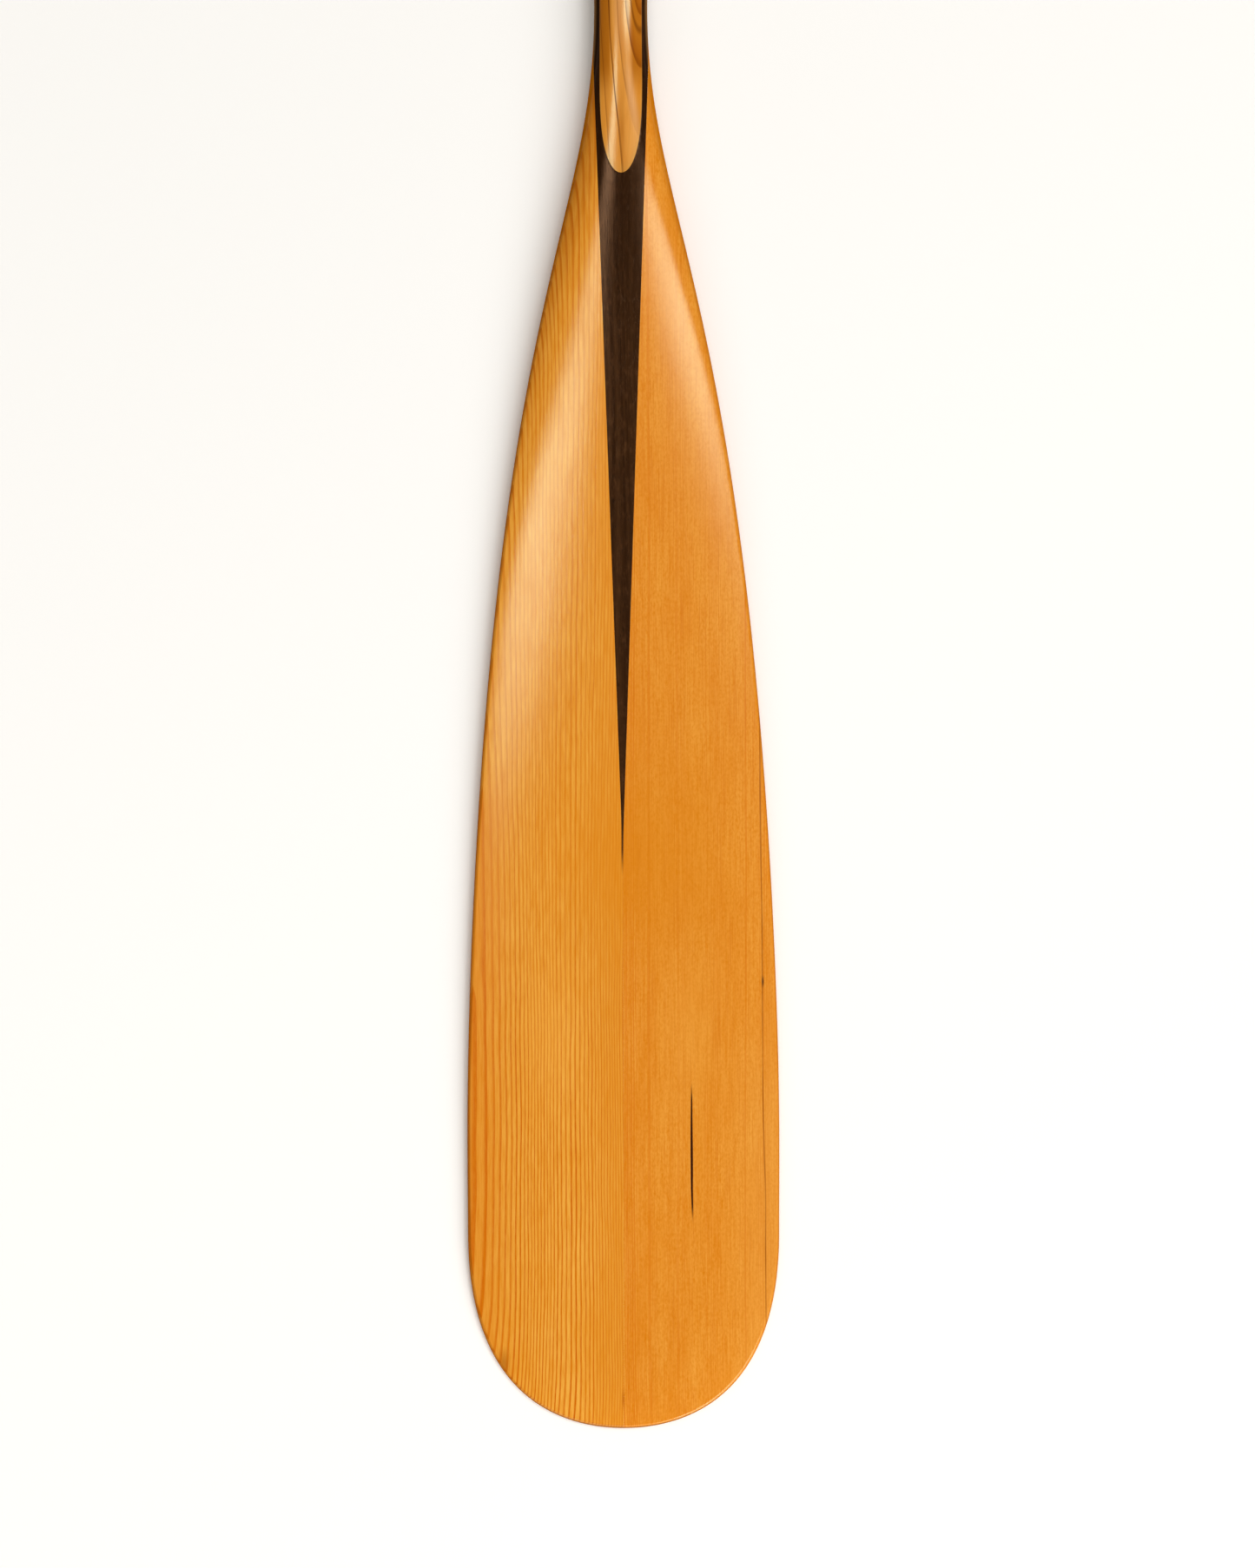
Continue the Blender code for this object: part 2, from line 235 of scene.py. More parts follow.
def surface_height(share, reach, y, spine):
    """Half the thickness at a share of the way from the centre line to the edge, reach away from it."""
    middle = np.interp(y, spine[:, 1], spine[:, 0])
    edge = EDGE_THICKNESS / 2
    flat = FLAT_SHARE * (1 - ease(PANEL_END_AT, CROWN_AT, y))
    fall = np.clip((share - flat) / (1 - flat), 0, 1)
    lens = np.sqrt(edge**2 + (middle**2 - edge**2) * (1 - fall**2))
    inset = np.clip((1 - share) * reach / EDGE_ROUNDING, 0, 1)
    blade = lens * np.sqrt(1 - (1 - inset) ** 2)
    oval = middle * (1 - share**OVAL_SQUARENESS) ** (1 / OVAL_SQUARENESS)
    growth = ease(OVAL_STARTS_AT, OVAL_ENDS_AT, y)
    return (1 - growth) * blade + growth * oval


def line_shares(reach, y):
    """Where the points lie along one line from the centre to the edge, closer together round the edge."""
    rounding = EDGE_ROUNDING / reach
    panel = [(1 - rounding) * sin(pi / 2 * n / PANEL_STEPS) for n in range(PANEL_STEPS)]
    steps = [pi / 2 * (1 - n / ROUNDING_STEPS) for n in range(ROUNDING_STEPS + 1)]
    blade = np.array(panel + [1 - rounding * (1 - cos(step)) for step in steps])
    count = PANEL_STEPS + ROUNDING_STEPS
    oval = np.array([sin(pi / 2 * n / count) for n in range(count + 1)])
    growth = ease(OVAL_STARTS_AT, OVAL_ENDS_AT, y)
    return (1 - growth) * blade + growth * oval


def form_corners():
    """points[station][step] is (x, y, z) on the front right quarter, where z is from the middle."""
    outline, feet = outline_and_feet()
    spine = spine_curve()
    points = []
    for (half_width, y), foot in zip(outline, feet):
        reach = float(np.hypot(half_width, y - foot))
        shares = line_shares(reach, y)
        ys = foot + shares * (y - foot)
        heights = surface_height(shares, reach, ys, spine)
        points.append(np.column_stack([shares * half_width, TIP_Y + ys, heights]))
    return points


def carved_form():
    """The whole finished shape as one closed cutter, from which every board takes its surface."""
    quarter = form_corners()
    last = len(quarter) - 1
    rim = PANEL_STEPS + ROUNDING_STEPS
    mesh = bmesh.new()
    made = {}

    def corner(station, step, side, face):
        """One vertex. Both sides share the centre line and the ends, and both faces share the rim."""
        side = 0 if step == 0 or station in (0, last) else side
        face = 0 if step == rim else face
        key = (station, step, side, face)
        if key not in made:
            x, y, z = quarter[station][step]
            made[key] = mesh.verts.new((side * x, y, MIDDLE_Z + face * z))
        return made[key]

    for side in (1, -1):
        for face in (1, -1):
            for station in range(last):
                for step in range(rim):
                    mesh.faces.new((
                        corner(station, step, side, face),
                        corner(station, step + 1, side, face),
                        corner(station + 1, step + 1, side, face),
                        corner(station + 1, step, side, face),
                    ))
    bmesh.ops.recalc_face_normals(mesh, faces=mesh.faces)
    return new_object("carved_form", mesh)


def new_object(name, mesh):
    """An object from a bmesh."""
    data = bpy.data.meshes.new(name)
    mesh.to_mesh(data)
    mesh.free()
    obj = bpy.data.objects.new(name, data)
    bpy.context.scene.collection.objects.link(obj)
    return obj


# The boards

def board(name, plan, bottom, depth, form, node, material):
    """A sawn board cut to the form: plan holds (x, distance from the tip) corners, bottom its underside.

    It stands for the CAD node, which it hides, and takes the material that it is given."""
    mesh = bmesh.new()
    face = mesh.faces.new([mesh.verts.new((x, TIP_Y + at, MIDDLE_Z + bottom)) for x, at in plan])
    pushed = bmesh.ops.extrude_face_region(mesh, geom=[face])["geom"]
    corners = [v for v in pushed if isinstance(v, bmesh.types.BMVert)]
    bmesh.ops.translate(mesh, verts=corners, vec=(0, 0, depth))
    bmesh.ops.recalc_face_normals(mesh, faces=mesh.faces)
    blank = new_object(name + "_blank", mesh)
    carve = blank.modifiers.new("carve", "BOOLEAN")
    carve.operation = "INTERSECT"
    carve.object = form
    carve.solver = "MANIFOLD"
    graph = bpy.context.evaluated_depsgraph_get()
    data = bpy.data.meshes.new_from_object(blank.evaluated_get(graph))
    bpy.data.objects.remove(blank, do_unlink=True)
    data.name = name
    data.shade_smooth()
    data.set_sharp_from_angle(angle=CRISP_ANGLE)
    data.materials.clear()
    data.materials.append(material)
    obj = bpy.data.objects.new(name, data)
    bpy.context.scene.collection.objects.link(obj)
    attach(obj, "root")
    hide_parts(node)
    return obj


def core_board(form, material):
    """The shaft's dark middle board, sawn to a long spear between the blade boards."""
    top = OVERALL_LENGTH + SAWN_MARGIN
    half = CORE_HALF_WIDTH
    plan = [(0, SPEAR_POINT_AT), (half, SHOULDER_AT), (half, top), (-half, top), (-half, SHOULDER_AT)]
    half_depth = CORE_THICKNESS / 2
    return board("core_board", plan, -half_depth, CORE_THICKNESS, form, "shaft_core", material)


def face_boards(form, material):
    """The light boards on the front and back of the core, each of which runs out in a rounded tongue."""
    depth = SHAFT_DEPTH / 2 + SAWN_MARGIN - FACE_BOARD_Z
    low = TONGUE_AT - SAWN_MARGIN
    top = OVERALL_LENGTH + SAWN_MARGIN
    half = CORE_HALF_WIDTH
    plan = [(-half, low), (half, low), (half, top), (-half, top)]
    for side, bottom in (("front", FACE_BOARD_Z), ("back", -FACE_BOARD_Z - depth)):
        board(f"{side}_face_board", plan, bottom, depth, form, f"shaft_face_{side}", material)


def blade_boards(form, materials):
    """The two broad boards of the blade, which meet below the spear's point and fit its slanted sides."""
    half_glue = GLUE_LINE / 2
    knee = SPEAR_POINT_AT - half_glue * (SHOULDER_AT - SPEAR_POINT_AT) / CORE_HALF_WIDTH
    inner = CORE_HALF_WIDTH + GLUE_LINE
    outer = BLADE_WIDTH / 2 + SAWN_MARGIN
    half_depth = CORE_THICKNESS / 2
    for side, name in ((-1, "left"), (1, "right")):
        plan = [
            (side * half_glue, -SAWN_MARGIN),
            (side * outer, -SAWN_MARGIN),
            (side * outer, OVAL_ENDS_AT),
            (side * inner, OVAL_ENDS_AT),
            (side * inner, SHOULDER_AT),
            (side * half_glue, knee),
        ]
        node = f"blade_board_{name}"
        board(f"{name}_blade_board", plan, -half_depth, CORE_THICKNESS, form, node, materials[name])


def grip_cheeks(form, material):
    """The blocks on both sides of the shaft that give the grip its width."""
    half_depth = SHAFT_DEPTH / 2 + SAWN_MARGIN
    inner = CORE_HALF_WIDTH + GLUE_LINE
    outer = GRIP_WIDTH / 2 + SAWN_MARGIN
    top = OVERALL_LENGTH + SAWN_MARGIN
    for side, name in ((-1, "left"), (1, "right")):
        plan = [(side * inner, GRIP_AT), (side * outer, GRIP_AT), (side * outer, top), (side * inner, top)]
        node = f"grip_cheek_{name}"
        board(f"{name}_grip_cheek", plan, -half_depth, 2 * half_depth, form, node, material)


# Formulas inside a material

MM = 1000  # millimetres in a metre
NOISE_STRETCH = 4  # a noise mostly stays between 0.25 and 0.75, and this brings it to -1 to 1
SEED_STEP = 7.3  # how far apart two noises are taken, so that no two look alike


class Field:
    """A value that a material works out at every point. Arithmetic on fields adds the nodes that do it."""

    def __init__(self, tree, socket):
        self.tree = tree
        self.socket = socket

    def calc(self, operation, *others):
        """The result of one of Blender's math operations on this value and the others."""
        node = self.tree.nodes.new("ShaderNodeMath")
        node.operation = operation
        for entry, value in zip(node.inputs, (self, *others)):
            if isinstance(value, Field):
                self.tree.links.new(value.socket, entry)
            else:
                entry.default_value = value
        return Field(self.tree, node.outputs[0])

    def __add__(self, other):
        return self.calc("ADD", other)

    def __sub__(self, other):
        return self.calc("SUBTRACT", other)

    def __mul__(self, other):
        return self.calc("MULTIPLY", other)

    def __truediv__(self, other):
        return self.calc("DIVIDE", other)

    def inverse(self):
        """1 minus the value."""
        return self * -1 + 1

    def size(self):
        """The value without its sign."""
        return self.calc("ABSOLUTE")

    def rise(self, low, high):
        """0 below low, 1 above high, and a smooth rise between."""
        node = self.tree.nodes.new("ShaderNodeMapRange")
        node.interpolation_type = "SMOOTHSTEP"
        node.inputs["From Min"].default_value = low
        node.inputs["From Max"].default_value = high
        self.tree.links.new(self.socket, node.inputs["Value"])
        return Field(self.tree, node.outputs["Result"])

    def band(self, middle, half_width):
        """1 at the middle, falling smoothly to 0 at half_width on both sides of it."""
        return (self - middle).size().rise(0, half_width).inverse()


def length_of(across, down):
    """The distance that two steps square to each other make together."""
    return (across * across + down * down).calc("SQRT")


class Wood:
    """One wood's material. across, along and deep are a point's place in millimetres: across from the
    long axis, along from the blade's tip and deep up from the middle of the thickness.

    lustre is the tint of its gloss."""

    def __init__(self, name, lustre=(0.86, 1, 0.70)):
        self.material = bpy.data.materials.new(name)
        self.material.use_nodes = True
        self.tree = self.material.node_tree
        self.shader = self.tree.nodes["Principled BSDF"]
        self.shader.inputs["Specular Tint"].default_value = (*lustre, 1)
        place = self.tree.nodes.new("ShaderNodeTexCoord")
        split = self.tree.nodes.new("ShaderNodeSeparateXYZ")
        self.tree.links.new(place.outputs["Object"], split.inputs[0])
        x, y, z = (Field(self.tree, out) for out in split.outputs)
        self.across = x * MM
        self.along = (y - TIP_Y) * MM
        self.deep = (z - MIDDLE_Z) * MM
        self.seed = 0

    def noise(self, size, detail=0, roughness=0.5):
        """Smooth noise from about -1 to 1. size is how far apart its hills lie across, along and deep."""
        self.seed += 1
        join = self.tree.nodes.new("ShaderNodeCombineXYZ")
        for entry, value, step in zip(join.inputs, (self.across, self.along, self.deep), size):
            self.tree.links.new((value / step + SEED_STEP * self.seed).socket, entry)
        node = self.tree.nodes.new("ShaderNodeTexNoise")
        node.inputs["Scale"].default_value = 1
        node.inputs["Detail"].default_value = detail
        node.inputs["Roughness"].default_value = roughness
        self.tree.links.new(join.outputs[0], node.inputs["Vector"])
        return Field(self.tree, node.outputs[0]) * NOISE_STRETCH - NOISE_STRETCH / 2

    def noise_of(self, value, size, detail=0):
        """Smooth noise from about -1 to 1 that depends on one value alone."""
        self.seed += 1
        node = self.tree.nodes.new("ShaderNodeTexNoise")
        node.noise_dimensions = "1D"
        node.inputs["Scale"].default_value = 1
        node.inputs["Detail"].default_value = detail
        self.tree.links.new((value / size + SEED_STEP * self.seed).socket, node.inputs["W"])
        return Field(self.tree, node.outputs[0]) * NOISE_STRETCH - NOISE_STRETCH / 2

    def ring_luck(self, ring):
        """A number from 0 to 1 for each whole ring."""
        node = self.tree.nodes.new("ShaderNodeTexWhiteNoise")
        node.noise_dimensions = "1D"
        self.tree.links.new(ring.calc("FLOOR").socket, node.inputs["W"])
        return Field(self.tree, node.outputs["Value"])

    def spot(self, across, along, half_width, half_length):
        """1 at a place on the boards, falling smoothly to 0 around it."""
        return self.across.band(across, half_width) * self.along.band(along, half_length)

    def facing(self, axis):
        """How squarely the surface faces along an axis, from 0 to 1."""
        node = self.tree.nodes.new("ShaderNodeNewGeometry")
        split = self.tree.nodes.new("ShaderNodeSeparateXYZ")
        self.tree.links.new(node.outputs["Normal"], split.inputs[0])
        return Field(self.tree, split.outputs[axis]).size()

    def end_grain(self):
        """1 where the surface cuts square across the fibres, 0 where it lies along them."""
        return self.facing("Y").rise(0.35, 0.95)

    def edge(self):
        """1 on the rounded edges and steep sides, 0 where the surface lies flat."""
        return self.facing("Z").inverse().rise(0.03, 0.45)

    def mix(self, share, first, second):
        """A colour between two, each a colour or an earlier mix. share is the second one's."""
        node = self.tree.nodes.new("ShaderNodeMix")
        node.data_type = "RGBA"
        node.clamp_factor = True
        self.tree.links.new(share.socket, node.inputs["Factor"])
        for entry, color in ((node.inputs[6], first), (node.inputs[7], second)):
            if isinstance(color, tuple):
                entry.default_value = (*color, 1)
            else:
                self.tree.links.new(color, entry)
        return node.outputs[2]

    def finish(self, color, relief, roughness, polish=0.5):
        """Connects the colour, a relief in millimetres, the roughness and the polish of the oiled surface.

        The edges are worn duller than the faces."""
        wear = self.edge()
        self.tree.links.new(color, self.shader.inputs["Base Color"])
        self.tree.links.new((roughness + wear * WEAR_ROUGHNESS).socket, self.shader.inputs["Roughness"])
        self.tree.links.new((wear.inverse() * polish).socket, self.shader.inputs["Specular IOR Level"])
        bump = self.tree.nodes.new("ShaderNodeBump")
        bump.inputs["Distance"].default_value = 1 / MM
        self.tree.links.new(relief.socket, bump.inputs["Height"])
        self.tree.links.new(bump.outputs[0], self.shader.inputs["Normal"])
        return self.material


def ring_lines(ring, start, full, end):
    """The dark late wood of each ring: it grows from start to full, and stops sharply after end."""
    phase = ring.calc("FRACT")
    return phase.rise(start, full) * phase.rise(end, 1).inverse()


# The woods. Colours are linear, and lengths are in millimetres.

OIL_ROUGHNESS = 0.128
WEAR_ROUGHNESS = 0.2

# Marks on the blade: the place across and along, and how far they reach to both sides
SWIRL = (-78, 243, 8, 22)
OUTER_FIGURE = (-62.5, 34, 4.5, 11)
TIP_STREAK = (-0.4, 15.5, 1.0, 7)
REDDER_HEART = (5, 298, 78, 80)
PALE_STRIP = (36, 205, 26, 62)
RING_FLECK = (72.9, 233, 0.9, 4)

# The left board's rings
OPEN_RING_WIDTH = 1.45
PITH_LEFT_OF_AXIS = 93
PITH_ABOVE_MIDDLE = 54

# The right board's rings, its dark ring and its pitch streak
FINE_RING_WIDTH = 0.98
DARK_RING_ACROSS = 71.6
DARK_RING_HALF_WIDTH = 0.6
PITCH_ACROSS = 35.6
PITCH_MIDDLE_AT = 142
PITCH_REACH = 42
PITCH_HALF_WIDTH = 0.28
PITCH_SWELLING = 0.30

# The tongue's arches: they stand still below ARCHES_FROM, and close up over ARCHES_RUN
ARCHES_FROM = 655
ARCHES_RUN = 90
CLIMB_END = 1.08
CLIMB_POWER = 1.4
HEART_DEPTH = 13.9
HEART_CLIMB = 11.4
ARCH_WIDTH = 4.3
FIRST_ARCH_AT = 9.15
FIRST_ARCH_PHASE = 0.93

OPEN_CEDAR = {
    "early": (0.95, 0.455, 0.066),
    "early, deeper": (0.90, 0.385, 0.040),
    "late": (0.64, 0.130, 0.001),
    "fibre": (0.75, 0.225, 0.001),
    "by the joint": (0.80, 0.262, 0.012),
    "heart": (0.79, 0.245, 0.001),
    "pale strip": (1.0, 0.46, 0.070),
    # Painted shade: darker and more saturated down the outer left side, near the tip
    "outer side": (0.78, 0.20, 0.001),
    # Painted shade for the sloping side
    "sloping side": (0.46, 0.105, 0.0005),
    "figure": (0.40, 0.10, 0.001),
    # Painted shade on the rounded edges, together with the oil-darkened wear of the edges
    "edge": (0.47, 0.135, 0.001),
}
FINE_CEDAR = {
    "early": (0.93, 0.395, 0.054),
    "early, deeper": (0.85, 0.300, 0.024),
    "streak": (0.80, 0.262, 0.014),
    "late": (0.72, 0.160, 0.001),
    "fibre": (0.75, 0.215, 0.001),
    "thread": (0.68, 0.165, 0.001),
    "heart": (0.77, 0.240, 0.001),
    "pale strip": (0.98, 0.46, 0.070),
    # Painted highlight: a paler colour down the outer right side, near the tip
    "outer side": (0.93, 0.47, 0.10),
    # Painted shade on the rounded edges, together with the oil-darkened wear of the edges
    "edge": (0.52, 0.16, 0.002),
    "dark ring": (0.34, 0.080, 0.001),
    "fleck": (0.09, 0.03, 0.008),
    "pitch": (0.030, 0.001, 0.0002),
}
BOTH_CEDARS = {
    "tip streak": (0.50, 0.115, 0.001),
    "seam": (0.06, 0.010, 0.0005),
    "end grain": (0.22, 0.085, 0.012),
}
WALNUT = {
    "dark": (0.024, 0.0080, 0.0022),
    "light": (0.070, 0.028, 0.0090),
    "mottle": (0.030, 0.010, 0.003),
    "figure": (0.090, 0.036, 0.013),
    "fibre": (0.016, 0.005, 0.0015),
    "pore": (0.006, 0.002, 0.001),
    "by the shaft": (0.012, 0.0035, 0.001),
    # Painted sheen: a paler, greyer colour for the shaft's steep sides
    "steep side": (0.36, 0.18, 0.065),
}
CHERRY = {
    "light": (0.84, 0.36, 0.060),
    "deeper": (0.74, 0.265, 0.022),
    "golden": (0.44, 0.125, 0.0005),
    # Painted sheen: the pale band across the tongue and the pale middle above it
    "cream": (0.88, 0.46, 0.19),
    "shade": (0.36, 0.085, 0.001),
    "streak": (0.52, 0.16, 0.008),
    "line": (0.12, 0.024, 0.001),
    "thin": (0.60, 0.30, 0.060),
    "fibre": (0.42, 0.12, 0.006),
    "end grain": (0.20, 0.07, 0.012),
}


def pale_strip(wood):
    """1 down the paler middle of each blade board, half way up the broad part of the blade."""
    across, along, half_width, half_length = PALE_STRIP
    return wood.across.size().band(across, half_width) * wood.along.band(along, half_length)


def joint_marks(wood, color):
    """The short streak at the tip and the dark glue line below the spear's point, on the boards' joint."""
    seam = (wood.across + 0.15).band(0, 0.95) * wood.along.rise(287, 303)
    color = wood.mix(wood.spot(*TIP_STREAK) * 0.7, color, BOTH_CEDARS["tip streak"])
    return wood.mix(seam, color, BOTH_CEDARS["seam"])


def open_rings(wood):
    """Counts the left board's rings from the heart of its tree, left of the board and above it."""
    drift = wood.noise((40, 300, 40)) * 1.3
    sway = wood.noise((12, 55, 12), detail=1) * 0.42
    from_pith = wood.across + PITH_LEFT_OF_AXIS + drift + sway
    below_pith = wood.deep * -1 + PITH_ABOVE_MIDDLE
    radius = length_of(from_pith, below_pith) + wood.spot(*SWIRL) * 0.7
    width_wave = ((radius - 60) * 0.126).calc("SINE") * 0.87
    return radius / OPEN_RING_WIDTH + width_wave + wood.noise_of(radius, 14) * 0.4


def open_cedar():
    """The left blade board: straight grain, open at the outer edge and finer towards the joint."""
    tint = OPEN_CEDAR
    wood = Wood("cedar_open_grain")
    ring = open_rings(wood)
    luck = wood.ring_luck(ring)
    fibre = wood.noise((0.95, 15, 1.2), detail=3, roughness=0.6)
    dashes = wood.noise((0.5, 4, 0.5), detail=1)
    upper = wood.along.rise(200, 275)
    late = ring_lines(ring, 0.48, 0.80, 0.91) * (luck * 0.4 + 0.75) * (dashes * 0.22 + 0.95)
    late = late * (upper * -0.30 + 1)
    patch = wood.noise((22, 60, 22), detail=2) * 0.5 + 0.5
    # Painted shade: darker and more saturated down the outer left side, below the throat, where sheen would
    # show
    outer_side_painted_light = wood.across.rise(-76, -52).inverse() * wood.along.rise(320, 360).inverse()
    # Painted shade: darker where the surface slopes away from flat, more so on the late wood lines
    painted_slope_shade = wood.facing("Z").inverse().rise(0.004, 0.045)
    early = wood.mix(patch, tint["early"], tint["early, deeper"])
    color = wood.mix(late, early, tint["late"])
    color = wood.mix(fibre * 0.50 + upper * 0.10 + 0.22, color, tint["fibre"])
    color = wood.mix(wood.across.rise(-26, -2) * 0.45, color, tint["by the joint"])
    color = wood.mix(wood.spot(*REDDER_HEART) * 0.42, color, tint["heart"])
    color = wood.mix(pale_strip(wood) * 0.26, color, tint["pale strip"])
    color = wood.mix(outer_side_painted_light * 0.38, color, tint["outer side"])
    color = wood.mix(painted_slope_shade * (late * 0.35 + 0.32), color, tint["sloping side"])
    color = wood.mix(wood.spot(*OUTER_FIGURE) * 0.6, color, tint["figure"])
    color = joint_marks(wood, color)
    # Painted shade on the rounded edges and steep sides, together with the oil-darkened wear of the edges
    color = wood.mix(wood.edge() * 0.7, color, tint["edge"])
    color = wood.mix(wood.end_grain() * 0.75, color, BOTH_CEDARS["end grain"])
    relief = fibre * 0.004 - late * 0.002
    return wood.finish(color, relief, patch * 0.03 + OIL_ROUGHNESS)


def dark_ring(wood, wander):
    """1 on the one dark ring down the right board's outer side, which wanders a little."""
    lean = wood.along.rise(105, 195).inverse() * 1.5 + wood.along.rise(245, 340).inverse()
    ring_x = lean + DARK_RING_ACROSS + wander
    ring = (wood.across - ring_x).band(0, DARK_RING_HALF_WIDTH) * wood.along.rise(25, 75)
    return ring * (wood.noise((20, 22, 20), detail=1) * 0.3 + 0.9)


def pitch_streak(wood, wander):
    """1 on the right board's thin dark streak of pitch, which tapers to both ends."""
    streak_x = wood.along.rise(105, 130).inverse() * 0.5 + PITCH_ACROSS + wander * 0.5
    half_width = wood.along.band(PITCH_MIDDLE_AT, PITCH_REACH) * PITCH_SWELLING + PITCH_HALF_WIDTH
    streak = ((wood.across - streak_x).size() - half_width).rise(-0.12, 0.22).inverse()
    return streak * wood.along.rise(106, 117) * wood.along.rise(171, 182).inverse()


def fine_cedar():
    """The right blade board: very fine straight grain, a pitch streak and one dark ring near the edge."""
    tint = FINE_CEDAR
    wood = Wood("cedar_fine_grain")
    drift = wood.noise((50, 320, 50)) * 0.9
    sway = wood.noise((16, 80, 16)) * 0.25
    radius = wood.across + wood.deep * 0.35 + drift + sway
    ring = radius / FINE_RING_WIDTH + wood.noise_of(radius, 5) * 0.9
    luck = wood.ring_luck(ring)
    near_joint = wood.across.rise(3, 13).inverse()
    visible = near_joint * 0.5 + wood.noise_of(radius, 9, detail=1) * 0.22 + 0.36
    fibre = wood.noise((0.95, 15, 1.2), detail=3, roughness=0.6)
    dashes = wood.noise((0.45, 5, 0.5), detail=1)
    threads = wood.noise((0.6, 40, 0.8), detail=1).rise(0.2, 1.0)
    speckle = wood.noise((0.9, 1.8, 0.9), detail=1)
    late = ring_lines(ring, 0.30, 0.70, 0.85) * visible * (luck * 0.7 + 0.5) * (dashes * 0.25 + 0.9)
    patch = wood.noise((14, 55, 20), detail=2) * 0.45 + 0.5
    streaks = wood.noise_of(radius, 3.5, detail=2) * 0.35 + 0.3
    wander = wood.noise((30, 45, 30), detail=1) * 0.2
    streak = pitch_streak(wood, wander)
    # Painted highlight: paler down the outer right side, near the tip
    outer_side_painted_light = wood.across.rise(48, 76) * wood.along.rise(150, 240).inverse()
    early = wood.mix(patch, tint["early"], tint["early, deeper"])
    early = wood.mix(streaks * 0.5, early, tint["streak"])
    color = wood.mix(late, early, tint["late"])
    color = wood.mix(fibre * 0.42 + speckle * 0.36 + 0.27, color, tint["fibre"])
    color = wood.mix(threads * 0.4, color, tint["thread"])
    color = wood.mix(wood.spot(*REDDER_HEART) * 0.48, color, tint["heart"])
    color = wood.mix(pale_strip(wood) * 0.20, color, tint["pale strip"])
    color = wood.mix(outer_side_painted_light * 0.2, color, tint["outer side"])
    # Painted shade on the rounded edges and steep sides, together with the oil-darkened wear of the edges
    color = wood.mix(wood.edge() * 0.65, color, tint["edge"])
    color = wood.mix(dark_ring(wood, wander) * 0.85, color, tint["dark ring"])
    color = wood.mix(wood.spot(*RING_FLECK), color, tint["fleck"])
    color = wood.mix(streak, color, tint["pitch"])
    color = joint_marks(wood, color)
    color = wood.mix(wood.end_grain() * 0.75, color, BOTH_CEDARS["end grain"])
    relief = fibre * 0.004 - late * 0.002 - streak * 0.02
    return wood.finish(color, relief, patch * 0.03 + OIL_ROUGHNESS)


def walnut():
    """The core: dark brown, with long streaks, short dark pores and a soft mottle."""
    tint = WALNUT
    wood = Wood("walnut", lustre=(1, 0.55, 0.30))
    bend = wood.noise((16, 120, 16)) * 2.2
    bands = wood.noise_of(wood.across + wood.deep * 0.6 + bend, 2.6, detail=2) * 0.5 + 0.5
    fibre = wood.noise((0.45, 18, 0.6), detail=2)
    mottle = wood.noise((4, 9, 4), detail=3) * 0.7 + 0.5
    pores = wood.noise((0.28, 3.2, 0.4)).rise(0.75, 1.1)
    figure = wood.noise((2.2, 6, 2.2), detail=2).rise(-0.1, 1.3)
    # Painted sheen on the shaft's steep sides
    steep = wood.facing("Z").inverse().rise(0.45, 0.85)
    color = wood.mix(bands, tint["dark"], tint["light"])
    color = wood.mix(mottle * 0.6, color, tint["mottle"])
    color = wood.mix(figure * 0.75, color, tint["figure"])
    color = wood.mix(fibre * 0.3 + 0.2, color, tint["fibre"])
    color = wood.mix(pores * 0.7, color, tint["pore"])
    color = wood.mix(wood.along.rise(540, 650) * 0.5, color, tint["by the shaft"])
    color = wood.mix(steep * 0.8, color, tint["steep side"])
    relief = fibre * 0.005 - pores * 0.012
    return wood.finish(color, relief, mottle * 0.04 + 0.10, polish=0.29)


def heart_distance(wood, heart):
    """How far a point of the figured wood lies from the heart of its tree.

    The heart lies to the right of the long axis, by heart. Below the shaft the tongue cuts away from it,
    so the rings run out as long arches, which open towards the blade."""
    bend = wood.noise((14, 45, 14), detail=2) * 0.35
    climb = ((wood.along - ARCHES_FROM) / ARCHES_RUN).calc("MAXIMUM", 0).calc("MINIMUM", CLIMB_END)
    below_heart = climb.calc("POWER", CLIMB_POWER) * -HEART_CLIMB + HEART_DEPTH
    return length_of(wood.across - heart + bend, below_heart)


def arches(wood, radius):
    """The soft shade and the thin dark line of each arch."""
    phase = ((radius + wood.deep * 0.1 - FIRST_ARCH_AT) / ARCH_WIDTH + FIRST_ARCH_PHASE).calc("FRACT")
    after = phase.rise(0.965, 1).inverse()
    first = radius.rise(8.6, 10).inverse()
    shade = phase.rise(0.40, 0.90) * after * (first * 0.65 + 0.2)
    line = phase.rise(0.80, 0.93) * after * (radius.band(16.6, 3.2) * 0.5 + 0.42)
    line = line * (radius.band(12.3, 2.5) * wood.along.rise(688, 706).inverse()).inverse()
    line = line.calc("MAXIMUM", radius.band(5.4, 0.55) * 0.75) * (wood.noise((9, 22, 9)) * 0.25 + 0.85)
    return shade, line


def golden_parts(wood):
    """1 down both sides of the face board above the tongue, and in the middle of the tongue."""
    sides = wood.across.size().rise(4.4, 6.6) * wood.along.rise(690, 712)
    return sides.calc("MAXIMUM", wood.spot(0.6, 678, 2.6, 26) * 0.6)


def painted_sheen_parts(wood):
    """1 on the pale band that slants across the tongue, and on the pale middle above it: painted sheen."""
    band_x = wood.along * -0.16 + 116.5
    band = (wood.across - band_x).band(0, 3.4) * wood.along.band(692, 26)
    return band.calc("MAXIMUM", wood.spot(-0.5, 742, 5, 36) * 0.8)


